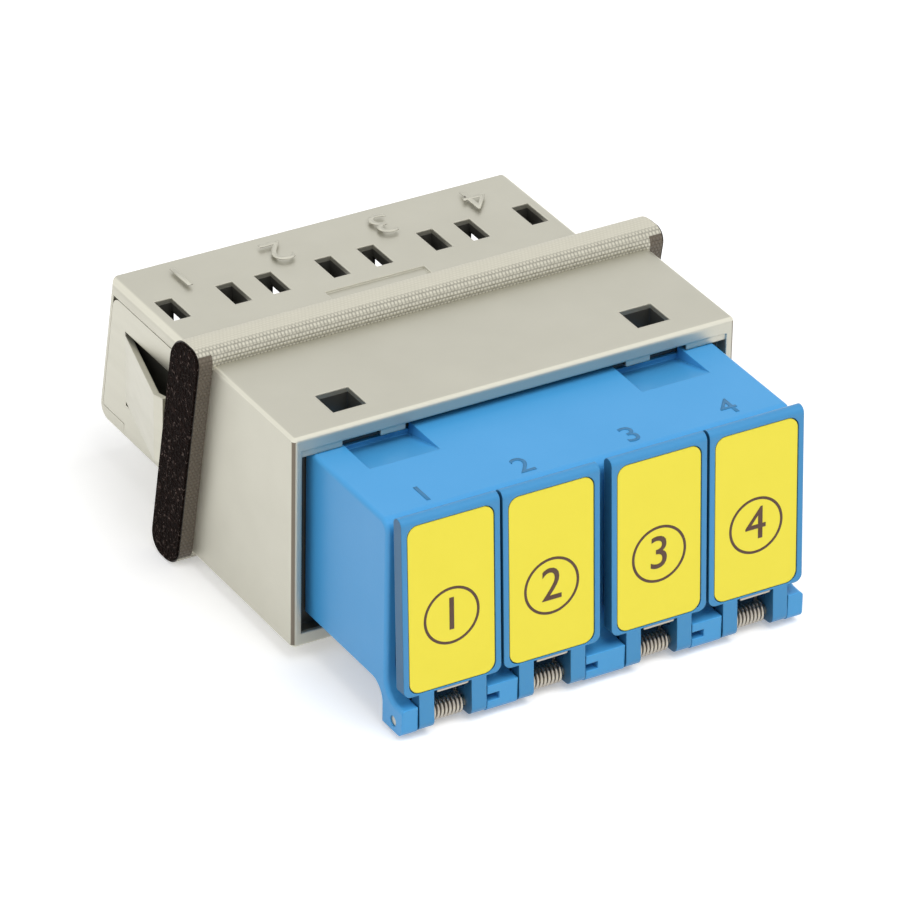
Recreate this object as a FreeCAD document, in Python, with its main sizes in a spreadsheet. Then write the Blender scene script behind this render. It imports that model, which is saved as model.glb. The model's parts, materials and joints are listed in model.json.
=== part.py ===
"""Quad LC fibre adapter with spring-loaded shutters, as a parametric document.

The adapter is a die-cast metal shell with a hood in front and a sleeve behind, a
panel gasket behind the hood, a sprung steel clip round the sleeve, a blue moulded
front housing with four ports, and four shutter doors on one hinge pin.

X runs across the ports, Y from the shutters to the rear ports, Z up.  Lengths are
millimetres.  The pieces are drawn about the middle of the ports, with Y = 0 on the
front face of the hood, and their placements carry them to the adapter's own frame,
whose origin lies under the middle of the adapter, on the lowest line of the gasket.
"""
import FreeCAD, Part
import math
import os
import re
import Sketcher

V = FreeCAD.Vector

SIZES = {
    # ports
    "port_pitch": 6.25, "duplex_pitch": 12.8, "port_wide": 4.8, "port_tall": 8.0,
    "latch_slot": 2.4, "latch_rib": 0.85, "latch_depth": 3.63, "ferrule_drop": 1.6,
    # hood of the metal shell
    "hood_wide": 27.6, "hood_tall": 13.08, "hood_drop": 0.18, "hood_deep": 10.03,
    "hood_round": 0.3, "slant": 10.5, "mouth_side": 0.55, "mouth_lip": 0.88,
    "mouth_deep": 0.9, "cavity_wide": 24.6, "cavity_tall": 9.3, "back_wall": 1.0,
    "snap_window": 2.05, "snap_window_front": 1.5, "snap_apart": 19.0,
    "tab_wide": 1.5, "tab_inner": 6.9, "corner_tab": 2.5, "tab_inset": 0.08,
    # sleeve of the metal shell
    "sleeve_wide": 25.6, "sleeve_tall": 9.66, "sleeve_long": 23.55, "sleeve_round": 0.5,
    "rear_round": 1.0, "holder_room_end": 10.55, "latch_window_wide": 1.08,
    "latch_window_long": 2.37, "latch_window_apart": 3.82, "relief_wide": 6.3,
    "relief_deep": 0.12, "relief_end": 15.5,
    # panel clip
    "clip_thick": 0.35, "clip_gap": 0.06, "clip_top": 3.85, "clip_low": 3.75,
    "clip_inset": 0.62, "clip_start": 1.5, "strap_inset": 2.45, "clip_round": 0.8,
    "finger_top": 2.0, "finger_low": 2.2, "root_inset": 2.65, "finger_toe": 0.66,
    "finger_inset": 0.25, "finger_tuck": 0.2, "finger_slit": 0.27, "finger_gap": 0.2,
    # gasket
    "gasket_side": 1.93, "gasket_top": 7.3, "gasket_low": 7.6, "gasket_thick": 3.1,
    "gasket_back_round": 1.2, "gasket_front_round": 0.5, "fabric_thick": 0.25,
    "foam_gap": 0.02, "gasket_fit": 0.05,
    # front housing
    "nose_side": 0.625, "nose_tall": 10.08, "nose_long": 7.85, "shoulder_gap": 0.1,
    "nose_round": 0.25, "nose_top_round": 0.7, "plug_fit": 0.15, "plug_end": 7.4,
    "tab_fit": 0.05, "lug_long": 1.7, "lug_wide": 1.8, "lug_rise": 0.3,
    "lug_back": 0.25, "ramp_inner": 6.3, "ramp_wide": 4.3, "ramp_long": 3.4,
    "ramp_deep": 0.82,
    # hinge
    "pin_ahead": 0.87, "pin_below": 1.64, "pin_radius": 0.29, "pin_fit": 0.02,
    "ear_back": 1.12, "ear_front": 0.95, "ear_low": 0.6, "ear_ridge": 1.08,
    "ear_sweep": 1.15, "ear_round": 0.45, "ear_gap": 0.08, "sight_wide": 0.75,
    "sight_tall": 0.45, "sight_lift": 0.35,
    # doors
    "door_pinch": 0.13, "door_gap": 0.18, "door_front": 1.03,
    "door_thick": 0.8, "door_foot": 1.75, "door_rise": 0.64, "door_lean": 3.2,
    "door_corner": 0.45, "knuckle_inner": 1.15, "knuckle_outer": 2.05,
    "knuckle_radius": 0.55, "knuckle_fit": 0.04, "knuckle_shoulder": 0.9,
    # labels
    "label_rim": 0.37, "label_top": 0.48, "label_foot": 1.88, "label_round": 0.65,
    "label_thick": 0.2, "label_gap": 0.05, "label_sink": 0.03,
    # torsion springs
    "wire": 0.2, "coil_radius": 0.5, "coil_long": 1.92,
    # sleeve holders and alignment sleeves
    "holder_wide": 24.0, "holder_tall": 8.0, "holder_half": 1.5, "holder_middle": 9.0,
    "boss_radius": 1.25, "boss_long": 2.6,
    "sleeve_outer": 0.8, "sleeve_bore": 0.625, "sleeve_length": 6.8,
    "sleeve_slit": 0.35, "sleeve_fit": 0.03,
    # how far a cut or a pad runs past a face that it must not stop at
    "overrun": 0.1,
}
# Which way the normal of each origin plane points along its axis.
NORMALS = {"XY": 1, "YZ": 1, "XZ": -1}
WORDS = re.compile(r"\b(" + "|".join(SIZES) + r")\b")

# Places that several pieces share, as expressions of the sizes above.
PORTS = [f"{pair} * duplex_pitch / 2 + {side} * port_pitch / 2"
         for pair in (-1, 1) for side in (-1, 1)]
DOORS = [f"{pair} * duplex_pitch / 2 + {side} * (port_pitch - door_pinch) / 2"
         for pair in (-1, 1) for side in (-1, 1)]
NOSE_WIDE = "(duplex_pitch + port_pitch + port_wide + 2 * nose_side)"
NOSE_FRONT = "-nose_long"
PIN_Y = "(-nose_long - pin_ahead)"
PIN_Z = "(-nose_tall / 2 - pin_below)"
REAR = ("(sleeve_long + (sleeve_tall / 2 - rear_round) * tan(slant * 1deg)"
        " - rear_round * (1 / cos(slant * 1deg) - 1))")
DOOR_WIDE = "(port_pitch - door_pinch - door_gap)"
DOOR_HEAD = "(nose_tall + pin_below + door_rise)"
LABEL_WIDE = f"({DOOR_WIDE} - 2 * label_rim)"
LABEL_HEAD = f"({DOOR_HEAD} - label_top)"
STRAP_END = "(sleeve_long - strap_inset)"
GASKET_WIDE = "(sleeve_wide + 2 * gasket_side)"
MOVE_Y = f"({PIN_Y} - door_front + {REAR}) / -2"
MOVE_Z = "gasket_low"

doc = FreeCAD.newDocument("lc_fibre_adapter")
sheet = doc.addObject("Spreadsheet::Sheet", "Sizes")
workings = doc.addObject("Spreadsheet::Sheet", "Workings")
pieces = []


def fill_sheet():
    """Write every size into the sheet as a plain number with an alias."""
    for row, (name, value) in enumerate(SIZES.items(), 1):
        sheet.set(f"A{row}", name)
        sheet.set(f"B{row}", str(value))
        sheet.setAlias(f"B{row}", name)
    doc.recompute()


def bound(text):
    """Turn an expression of size names into one that reads the sheet."""
    return WORDS.sub(r"Sizes.\1", text)


def number(text):
    """What an expression of size names comes to, worked out by a second sheet."""
    workings.set("A1", "=" + bound(text))
    workings.recompute()
    return float(workings.get("A1"))


def slanted(start, height):
    """The Y of a face that leans with the hood's back, at a height."""
    return f"{start} - ({height}) * tan(slant * 1deg)"


def new_piece(name, right="0", back="0", up="0", lean=None):
    """A body placed in the adapter's frame, at a point given in the drawing frame."""
    body = doc.addObject("PartDesign::Body", name)
    body.Label = name
    if lean:
        body.Placement.Rotation = FreeCAD.Rotation(V(1, 0, 0), 1)
        body.setExpression("Placement.Rotation.Angle", bound(lean))
    body.setExpression("Placement.Base.x", bound(right))
    body.setExpression("Placement.Base.y", bound(f"{back} + {MOVE_Y}"))
    body.setExpression("Placement.Base.z", bound(f"{up} + {MOVE_Z}"))
    pieces.append(body)
    return body


def new_sketch(body, name, plane, place="0"):
    """A sketch on one of the body's origin planes, moved along its normal."""
    drawn = body.newObject("Sketcher::SketchObject", name)
    role = plane + "_Plane"
    support = next(item for item in body.Origin.OriginFeatures if item.Role == role)
    drawn.AttachmentSupport = [(support, "")]
    drawn.MapMode = "FlatFace"
    drawn.setExpression("AttachmentOffset.Base.z", bound(f"{NORMALS[plane]} * ({place})"))
    return drawn


def hold(drawn, kind, geometry, point, text):
    """Bind one coordinate of a sketch point to an expression."""
    drawn.addConstraint(Sketcher.Constraint(kind, -1, 1, geometry, point, number(text)))
    drawn.setExpression(f"Constraints[{drawn.ConstraintCount - 1}]", bound(text))


def outline(drawn, corners):
    """Draw a closed outline whose corners are pairs of expressions.

    A third item makes the run to the next corner an arc: its sense (1 goes
    counter-clockwise, -1 clockwise) and the expression for its middle's first
    coordinate.
    """
    first, count = drawn.GeometryCount, len(corners)
    spots = [V(number(corner[0]), number(corner[1]), 0) for corner in corners]
    heads, tails = [], []
    for i, corner in enumerate(corners):
        here, after = spots[i], spots[(i + 1) % count]
        clockwise = len(corner) > 2 and corner[2][0] < 0
        heads.append(2 if clockwise else 1)
        tails.append(1 if clockwise else 2)
        if len(corner) == 2:
            drawn.addGeometry(Part.LineSegment(here, after))
            continue
        middle = V(number(corner[2][1]), 0, 0)
        span = after.sub(here)
        middle.y = (here.y + after.y) / 2 + ((here.x + after.x) / 2 - middle.x) * span.x / span.y
        one, other = (after, here) if clockwise else (here, after)
        start, end = [math.atan2(point.y - middle.y, point.x - middle.x) for point in (one, other)]
        circle = Part.Circle(middle, V(0, 0, 1), here.distanceToPoint(middle))
        drawn.addGeometry(Part.ArcOfCircle(circle, start, end if end > start else end + 2 * math.pi))
    for i in range(count):
        after = (i + 1) % count
        drawn.addConstraint(Sketcher.Constraint("Coincident", first + i, tails[i],
                                                first + after, heads[after]))
    for i, corner in enumerate(corners):
        hold(drawn, "DistanceX", first + i, heads[i], corner[0])
        hold(drawn, "DistanceY", first + i, heads[i], corner[1])
        if len(corner) > 2:
            hold(drawn, "DistanceX", first + i, 3, corner[2][1])


def box(drawn, left, low, right, high):
    """Draw a rectangle between expressions."""
    outline(drawn, [(left, low), (right, low), (right, high), (left, high)])


def disc(drawn, across, along, radius):
    """Draw a circle whose middle and radius are expressions."""
    middle = V(number(across), number(along), 0)
    index = drawn.addGeometry(Part.Circle(middle, V(0, 0, 1), number(radius)))
    drawn.addConstraint(Sketcher.Constraint("Radius", index, number(radius)))
    drawn.setExpression(f"Constraints[{drawn.ConstraintCount - 1}]", bound(radius))
    hold(drawn, "DistanceX", index, 3, across)
    hold(drawn, "DistanceY", index, 3, along)


def solid(body, kind, name, plane, start, end, draw):
    """Pad or pocket what draw puts in a sketch, from start to end along the normal."""
    forward = (kind == "Pad") == (NORMALS[plane] > 0)
    drawn = new_sketch(body, name + "_outline", plane, start if forward else end)
    draw(drawn)
    feature = body.newObject("PartDesign::" + kind, name)
    feature.Profile = drawn
    feature.setExpression("Length", bound(f"({end}) - ({start})"))
    doc.recompute()
    return feature


def across(body, kind, name, width, draw, middle="0"):
    """Pad or pocket a side profile, as wide on each side of a middle plane."""
    start, end = f"{middle} - ({width}) / 2", f"{middle} + ({width}) / 2"
    return solid(body, kind, name, "YZ", start, end, draw)


def mirrored(body, feature):
    """Repeat a feature on the other side of the body's middle plane."""
    copy = body.newObject("PartDesign::Mirrored", feature.Name + "_other_side")
    copy.Originals = [feature]
    support = next(item for item in body.Origin.OriginFeatures if item.Role == "YZ_Plane")
    copy.MirrorPlane = (support, [""])
    body.Tip = copy
    doc.recompute()
    return copy


def soften(body, name, radius, wanted):
    """Fillet the edges of the body's shape for which wanted(middle, run) holds."""
    base = body.Tip
    names = []
    for i, edge in enumerate(base.Shape.Edges, 1):
        ends = [v.Point for v in edge.Vertexes]
        middle = edge.valueAt((edge.FirstParameter + edge.LastParameter) / 2)
        run = ends[-1].sub(ends[0])
        if wanted(middle, run):
            names.append(f"Edge{i}")
    feature = body.newObject("PartDesign::Fillet", name)
    feature.Base = (base, names)
    feature.setExpression("Radius", bound(radius))
    doc.recompute()
    return feature


def near(value, target):
    """Whether two lengths are the same to a few microns."""
    return abs(value - target) < 0.005


def lengthwise(run):
    """Whether an edge runs along X."""
    return abs(run.x) > 0.9 * run.Length > 0


def rear_ports(drawn):
    """The four port openings, full height."""
    for x in PORTS:
        box(drawn, f"{x} - port_wide / 2", "-port_tall / 2",
            f"{x} + port_wide / 2", "port_tall / 2")


def port_mouths(drawn):
    """The four port mouths, narrowed at the top to the latch slot."""
    shoulder = "port_tall / 2 - latch_rib"
    for x in PORTS:
        left, right = f"{x} - port_wide / 2", f"{x} + port_wide / 2"
        inner_left, inner_right = f"{x} - latch_slot / 2", f"{x} + latch_slot / 2"
        outline(drawn, [(left, "-port_tall / 2"), (right, "-port_tall / 2"),
                        (right, shoulder), (inner_right, shoulder),
                        (inner_right, "port_tall / 2"), (inner_left, "port_tall / 2"),
                        (inner_left, shoulder), (left, shoulder)])


def side_profile(front, back, low, high, lean_front=False):
    """A side outline between two Y places, leaning with the hood's back."""
    def draw(drawn):
        low_front = slanted(front, low) if lean_front else front
        high_front = slanted(front, high) if lean_front else front
        outline(drawn, [(low_front, low), (slanted(back, low), low),
                        (slanted(back, high), high), (high_front, high)])
    return draw


def clip_profile(grow):
    """The side outline of the panel clip, grown by a gap."""
    def draw(drawn):
        top, low = f"clip_top + {grow}", f"-clip_low - {grow}"
        rear = f"sleeve_long - clip_inset + {grow}"
        front = f"hood_deep + clip_start - {grow}"
        strap, foot = f"{STRAP_END} + {grow}", "-sleeve_tall / 2"
        outline(drawn, [(front, foot), (strap, foot), (strap, low),
                        (slanted(rear, low), low), (slanted(rear, top), top),
                        (front, top)])
    return draw


def metal_shell():
    """The die-cast shell: a hood with a stepped mouth, and a sleeve with four ports."""
    body = new_piece("metal_shell")
    size = SIZES
    lean = math.tan(math.radians(size["slant"]))
    top, low = "hood_tall / 2 - hood_drop", "-hood_tall / 2 - hood_drop"
    across(body, "Pad", "hood", "hood_wide", side_profile("0", "hood_deep", low, top))
    soften(body, "hood_edges", "hood_round", lambda middle, run:
           middle.y + middle.z * lean < size["hood_deep"] - size["hood_round"])
    half = "sleeve_tall / 2"
    across(body, "Pad", "sleeve", "sleeve_wide",
           side_profile("hood_deep / 2", "sleeve_long", "-" + half, half))
    side, height = size["sleeve_wide"] / 2, size["sleeve_tall"] / 2

    def behind_hood(middle):
        return middle.y + middle.z * lean > size["hood_deep"] + 0.1

    soften(body, "rear_low_edge", "rear_round", lambda middle, run: behind_hood(middle)
           and lengthwise(run) and near(middle.z, -height)
           and near(middle.y, size["sleeve_long"] + height * lean))
    soften(body, "sleeve_edges", "sleeve_round", lambda middle, run: behind_hood(middle)
           and near(abs(middle.x), side) and near(abs(middle.z), height))

    mouth = "hood_wide / 2 - mouth_side"
    solid(body, "Pocket", "mouth", "XZ", "0", "mouth_deep", lambda drawn: box(
        drawn, f"-({mouth})", f"{low} + mouth_lip", mouth, f"{top} - mouth_lip"))
    half = "cavity_tall / 2"
    across(body, "Pocket", "cavity", "cavity_wide",
           side_profile("0", "hood_deep - back_wall", "-" + half, half))
    solid(body, "Pocket", "holder_room", "XZ", "hood_deep / 2", "holder_room_end",
          lambda drawn: box(drawn, "-holder_wide / 2 - plug_fit", "-holder_tall / 2 - plug_fit / 2",
                            "holder_wide / 2 + plug_fit", "holder_tall / 2 + plug_fit / 2"))
    latch_end = slanted("sleeve_long", "sleeve_tall / 2") + " - latch_depth"
    solid(body, "Pocket", "rear_ports", "XZ", "holder_room_end - overrun", latch_end, rear_ports)
    solid(body, "Pocket", "rear_mouths", "XZ", f"{latch_end} - overrun",
          "sleeve_long + sleeve_tall", port_mouths)
    window_front = f"{latch_end} - latch_window_long"

    def latch_windows(drawn):
        for x in PORTS:
            for hand in (-1, 1):
                spot = f"{x} + {hand} * latch_window_apart / 2"
                box(drawn, f"{spot} - latch_window_wide / 2", window_front,
                    f"{spot} + latch_window_wide / 2", latch_end)

    solid(body, "Pocket", "latch_windows", "XY", "0", "sleeve_tall", latch_windows)

    def snap_windows(drawn):
        for hand in (-1, 1):
            spot = f"{hand} * snap_apart / 2"
            box(drawn, f"{spot} - snap_window / 2", "snap_window_front",
                f"{spot} + snap_window / 2", "snap_window_front + snap_window")

    solid(body, "Pocket", "snap_windows", "XY", "0", "hood_tall", snap_windows)
    solid(body, "Pocket", "top_relief", "XY", "sleeve_tall / 2 - relief_deep",
          "sleeve_tall", lambda drawn: box(drawn, "-relief_wide / 2",
                                           slanted("hood_deep", "sleeve_tall / 2"),
                                           "relief_wide / 2", "relief_end"))
    seat = "sleeve_wide / 2 - clip_thick - clip_gap"
    side_seat = solid(body, "Pocket", "clip_seat", "YZ", seat, "hood_wide", clip_profile("clip_gap"))
    mirrored(body, side_seat)
    solid(body, "Pocket", "strap_seat", "XY", "-sleeve_tall",
          "-sleeve_tall / 2 + clip_thick + clip_gap",
          lambda drawn: box(drawn, "-sleeve_wide / 2 - overrun",
                            "hood_deep + clip_start - clip_gap", "sleeve_wide / 2 + overrun",
                            f"{STRAP_END} + clip_gap"))

    def mouth_tabs(drawn):
        foot = "nose_tall / 2 + tab_fit"
        lid = f"{top} - mouth_lip + overrun"
        for hand in (-1, 1):
            box(drawn, f"{hand} * tab_inner", foot, f"{hand} * (tab_inner + tab_wide)", lid)
            box(drawn, f"{hand} * ({mouth} - corner_tab)", foot, f"{hand} * ({mouth} + overrun)", lid)

    solid(body, "Pad", "mouth_tabs", "XZ", "tab_inset", "mouth_deep + overrun", mouth_tabs)


def panel_clip():
    """The sprung steel clip: a strap under the sleeve with a plate and finger each side."""
    body = new_piece("panel_clip")
    size = SIZES
    across(body, "Pad", "strip", "sleeve_wide", clip_profile("0"))
    side, height = size["sleeve_wide"] / 2, size["sleeve_tall"] / 2
    lean = math.tan(math.radians(size["slant"]))
    soften(body, "strip_bend", "sleeve_round", lambda middle, run: near(abs(middle.x), side)
           and near(middle.z, -height))
    rear = size["sleeve_long"] - size["clip_inset"] - size["clip_top"] * lean
    soften(body, "plate_corner", "clip_round", lambda middle, run: lengthwise(run)
           and near(middle.z, size["clip_top"]) and near(middle.y, rear))
    inner = "sleeve_wide / 2 - clip_thick"
    solid(body, "Pocket", "inside", "XZ", "0", "2 * sleeve_long", lambda drawn: box(
        drawn, f"-({inner})", "-sleeve_tall / 2 + clip_thick", inner, "sleeve_tall"))
    tip = slanted("hood_deep + gasket_thick", "-finger_low") + " + finger_gap"
    root = "sleeve_long - root_inset"
    across(body, "Pocket", "finger_windows", "2 * sleeve_wide", lambda drawn: box(
        drawn, f"{tip} - finger_slit", "-finger_low - finger_slit", root,
        "finger_top + finger_slit"))

    def finger(drawn):
        plate = "sleeve_wide / 2"
        knee = f"{GASKET_WIDE} / 2 - finger_inset"
        bend = f"{tip} + finger_toe"
        outline(drawn, [(plate, root), (knee, bend),
                        (f"{knee} - finger_tuck", tip),
                        (f"{knee} - finger_tuck - clip_thick", tip),
                        (f"{knee} - clip_thick", bend),
                        (f"{plate} - clip_thick", root)])

    mirrored(body, solid(body, "Pad", "finger", "XY", "-finger_low", "finger_top", finger))


def gasket_slab(body, kind, inset, wide):
    """Pad or pocket the gasket's leaning slab, inset all round in its side outline."""
    step = f"({inset}) / cos(slant * 1deg)"
    return across(body, kind, f"{body.Name}_{kind.lower()}", wide, side_profile(
        f"hood_deep + {step}", f"hood_deep + gasket_thick - {step}",
        f"-gasket_low + {inset}", f"gasket_top - {inset}", True))


def round_slab(body, slab, inset):
    """Round the long edges of a gasket slab: wide at the back, tight at the front."""
    corners = [(v.Y, v.Z) for v in slab.Profile[0].Shape.Vertexes]
    lean = math.tan(math.radians(SIZES["slant"]))
    centre = SIZES["hood_deep"] + SIZES["gasket_thick"] / 2
    for side, sign in (("back", 1), ("front", -1)):
        spots = [(y, z) for y, z in corners if sign * (y + z * lean - centre) > 0]
        soften(body, f"{slab.Name}_{side}", f"gasket_{side}_round - {inset}",
               lambda middle, run: lengthwise(run)
               and any(near(middle.y, y) and near(middle.z, z) for y, z in spots))


def sleeve_hole(body):
    """The hole in the gasket that the sleeve passes through."""
    half_wide = "sleeve_wide / 2 + gasket_fit"
    half_tall = "sleeve_tall / 2 + gasket_fit"
    solid(body, "Pocket", body.Name + "_hole", "XZ", "0", "sleeve_long", lambda drawn: box(
        drawn, f"-({half_wide})", f"-({half_tall})", half_wide, half_tall))


def gasket():
    """Conductive fabric wrapped over a foam slab, open at both ends."""
    fabric = new_piece("gasket_fabric")
    outer = gasket_slab(fabric, "Pad", "0", GASKET_WIDE)
    inner = gasket_slab(fabric, "Pocket", "fabric_thick", f"2 * {GASKET_WIDE}")
    round_slab(fabric, inner, "fabric_thick")
    round_slab(fabric, outer, "0")
    sleeve_hole(fabric)
    foam = new_piece("gasket_foam")
    inset = "(fabric_thick + foam_gap)"
    round_slab(foam, gasket_slab(foam, "Pad", inset, f"{GASKET_WIDE} - fabric_thick"), inset)
    sleeve_hole(foam)


def ear_spans():
    """The X span of each hinge ear, between the doors' knuckles."""
    reach = "(knuckle_outer + ear_gap)"
    edges = [f"-{NOSE_WIDE} / 2"]
    for x in DOORS:
        edges += [f"{x} - {reach}", f"{x} + {reach}"]
    edges.append(f"{NOSE_WIDE} / 2")
    return list(zip(edges[0::2], edges[1::2]))


def ear_profile(drawn):
    """The side outline of a hinge ear: it sweeps down out of the nose's front edge."""
    back, front = f"{PIN_Y} + ear_back", f"{PIN_Y} - ear_front"
    low, ridge = f"{PIN_Z} - ear_low", f"{PIN_Z} + ear_ridge"
    under, swept = "-nose_tall / 2", f"{PIN_Z} + ear_ridge + ear_sweep"
    root, brow = f"{back} + ear_sweep", f"{NOSE_FRONT} - ear_sweep"
    outline(drawn, [(back, low), (back, f"{under} - ear_sweep", (-1, root)),
                    (root, under), (root, swept), (NOSE_FRONT, swept, (-1, brow)),
                    (brow, ridge), (front, ridge),
                    (front, f"{low} + ear_round", (1, f"{front} + ear_round")),
                    (f"{front} + ear_round", low)])


def front_housing():
    """The moulded front housing: nose, plug, ports, snap lugs and hinge ears."""
    body = new_piece("front_housing")
    size = SIZES
    wide, tall = f"{NOSE_WIDE} / 2", "nose_tall / 2"
    shoulder = "mouth_deep - shoulder_gap"
    solid(body, "Pad", "nose", "XZ", NOSE_FRONT, shoulder,
          lambda drawn: box(drawn, f"-{wide}", f"-{tall}", wide, tall))
    for position, (left, right) in enumerate(ear_spans(), 1):
        solid(body, "Pad", f"ear_{position}", "YZ", left, right, ear_profile)
    front, height = -size["nose_long"], size["nose_tall"] / 2
    side = number(wide)
    soften(body, "nose_top", "nose_top_round", lambda middle, run: lengthwise(run)
           and near(middle.y, front) and near(middle.z, height))
    soften(body, "nose_sides", "nose_round", lambda middle, run: abs(run.y) > 1
           and near(abs(middle.x), side) and near(middle.z, height))
    plug_wide = "cavity_wide / 2 - plug_fit"
    plug_tall = "cavity_tall / 2 - plug_fit"
    solid(body, "Pad", "plug", "XZ", shoulder, "plug_end", lambda drawn: box(
        drawn, f"-({plug_wide})", f"-({plug_tall})", plug_wide, plug_tall))
    across(body, "Pocket", "pin_hole", f"2 * {NOSE_WIDE}", lambda drawn: disc(
        drawn, PIN_Y, PIN_Z, "pin_radius + pin_fit"))

    def sights(drawn):
        middle = f"{PIN_Z} + sight_lift"
        for left, _ in ear_spans()[1:-1]:
            box(drawn, f"{left} - overrun", f"{middle} - sight_tall / 2", f"{left} + sight_wide",
                f"{middle} + sight_tall / 2")

    solid(body, "Pocket", "pin_sights", "XZ", f"{PIN_Y} - 2 * ear_front", PIN_Y, sights)
    latch_end = f"{NOSE_FRONT} + latch_depth"
    solid(body, "Pocket", "ports", "XZ", latch_end, "plug_end + overrun", rear_ports)
    solid(body, "Pocket", "mouths", "XZ", f"{NOSE_FRONT} - overrun",
          f"{latch_end} + overrun", port_mouths)

    def ramp(drawn):
        outline(drawn, [(f"{shoulder} - ramp_long", tall), (f"{shoulder} + overrun", tall),
                        (f"{shoulder} + overrun", f"{tall} - ramp_deep"),
                        (shoulder, f"{tall} - ramp_deep")])

    mirrored(body, solid(body, "Pocket", "ramp", "YZ", "ramp_inner",
                         "ramp_inner + ramp_wide", ramp))

    def snap_lug(drawn):
        stop = "snap_window_front + snap_window - lug_back"
        outline(drawn, [(f"{stop} - lug_long", plug_tall), (stop, plug_tall),
                        (stop, f"{plug_tall} + lug_rise"),
                        (f"{stop} - lug_long / 3", f"{plug_tall} + lug_rise")])

    spot = "snap_apart / 2"
    mirrored(body, solid(body, "Pad", "snap_lug", "YZ", f"{spot} - lug_wide / 2",
                         f"{spot} + lug_wide / 2", snap_lug))


def hinge_pin():
    """The steel pin that runs through every ear and knuckle."""
    body = new_piece("hinge_pin")
    across(body, "Pad", "rod", f"{NOSE_WIDE} - 2 * ear_gap",
           lambda drawn: disc(drawn, PIN_Y, PIN_Z, "pin_radius"))


def door_piece(name, position):
    """A body whose own origin lies on the hinge line under the middle of a door."""
    return new_piece(f"{name}_{position}", DOORS[position - 1], PIN_Y, PIN_Z, "-door_lean")


def shutter_door(position):
    """One shutter: a thin plate with a label recess over a sprung hinge."""
    body = door_piece("shutter_door", position)
    size = SIZES
    front, back = "-door_front", "-door_front + door_thick"
    across(body, "Pad", "plate", DOOR_WIDE,
           lambda drawn: box(drawn, front, "door_foot", back, DOOR_HEAD))
    head = number(DOOR_HEAD)
    soften(body, "plate_head", "door_thick / 2 - 0.01", lambda middle, run:
           lengthwise(run) and near(middle.z, head))
    half = number(DOOR_WIDE) / 2
    soften(body, "plate_foot", "door_corner", lambda middle, run: abs(run.y) > 0.9 * run.Length
           and near(abs(middle.x), half) and near(middle.z, size["door_foot"]))

    def knuckle(drawn):
        outline(drawn, [(front, "-knuckle_radius"), ("knuckle_radius", "-knuckle_radius"),
                        ("knuckle_radius", "knuckle_radius"), (back, "knuckle_shoulder"),
                        (back, "door_foot + door_thick / 2"), (front, "door_foot + door_thick / 2")])

    across(body, "Pad", "knuckles", "2 * knuckle_outer", knuckle)
    reach, ahead = size["knuckle_radius"], -size["door_front"]
    soften(body, "knuckle_rounds", "knuckle_radius - 0.02", lambda middle, run: lengthwise(run)
           and near(middle.z, -reach) and (near(middle.y, reach) or near(middle.y, ahead)))
    solid(body, "Pocket", "coil_notch", "XZ", "-2 * door_front", "2 * door_front",
          lambda drawn: box(drawn, "-knuckle_inner", "-2 * knuckle_radius", "knuckle_inner",
                            "door_foot"))
    across(body, "Pocket", "pin_bore", f"2 * {DOOR_WIDE}",
           lambda drawn: disc(drawn, "0", "0", "pin_radius + knuckle_fit"))
    gap = "label_gap"
    solid(body, "Pocket", "label_recess", "XZ", "-2 * door_front",
          "-door_front + label_thick + label_sink", lambda drawn: box(
              drawn, f"-{LABEL_WIDE} / 2 - {gap}", f"label_foot - {gap}",
              f"{LABEL_WIDE} / 2 + {gap}", f"{LABEL_HEAD} + {gap}"))
    edge = number(LABEL_WIDE) / 2 + size["label_gap"]
    soften(body, "recess_corners", "label_round", lambda middle, run: near(abs(middle.x), edge)
           and abs(run.y) > 0.9 * run.Length > 0)


def label(position):
    """The thin plate that fills the recess of a door."""
    body = door_piece("label", position)
    solid(body, "Pad", "card", "XZ", "-door_front + label_sink",
          "-door_front + label_sink + label_thick", lambda drawn: box(
              drawn, f"-{LABEL_WIDE} / 2", "label_foot", f"{LABEL_WIDE} / 2", LABEL_HEAD))
    soften(body, "card_corners", "label_round", lambda middle, run: abs(run.y) > 0.9 * run.Length)


def torsion_spring(position):
    """A torsion spring: a close coil round the pin, drawn as a plain tube."""
    body = door_piece("torsion_spring", position)

    def coil(drawn):
        disc(drawn, "0", "0", "coil_radius + wire / 2")
        disc(drawn, "0", "0", "coil_radius - wire / 2")

    across(body, "Pad", "coil", "coil_long + wire", coil)


def holder_half(name, hand):
    """One half of the holder that carries the alignment sleeves."""
    body = new_piece(name)
    middle, face = "holder_middle", f"holder_middle + {hand} * holder_half"
    tip = f"{face} + {hand} * boss_long"

    def span(one, other):
        return (one, other) if hand > 0 else (other, one)

    def discs(radius):
        def draw(drawn):
            for x in PORTS:
                disc(drawn, x, "-ferrule_drop", radius)
        return draw

    solid(body, "Pad", name + "_plate", "XZ", *span(middle, face), lambda drawn: box(
        drawn, "-holder_wide / 2", "-holder_tall / 2", "holder_wide / 2", "holder_tall / 2"))
    solid(body, "Pad", name + "_bosses", "XZ", *span(face, tip), discs("boss_radius"))
    solid(body, "Pocket", name + "_bores", "XZ", *span(middle, tip),
          discs("sleeve_outer + sleeve_fit"))


def alignment_sleeve(position):
    """A split ceramic sleeve that lines two ferrules up."""
    body = new_piece(f"alignment_sleeve_{position}", PORTS[position - 1], "holder_middle",
                     "-ferrule_drop")
    half = "sleeve_length / 2"

    def ring(drawn):
        disc(drawn, "0", "0", "sleeve_outer")
        disc(drawn, "0", "0", "sleeve_bore")

    solid(body, "Pad", "tube", "XZ", f"-{half}", half, ring)
    solid(body, "Pocket", "slit", "XZ", "-sleeve_length", "sleeve_length", lambda drawn: box(
        drawn, "-sleeve_slit / 2", "0", "sleeve_slit / 2", "2 * sleeve_outer"))


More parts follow.
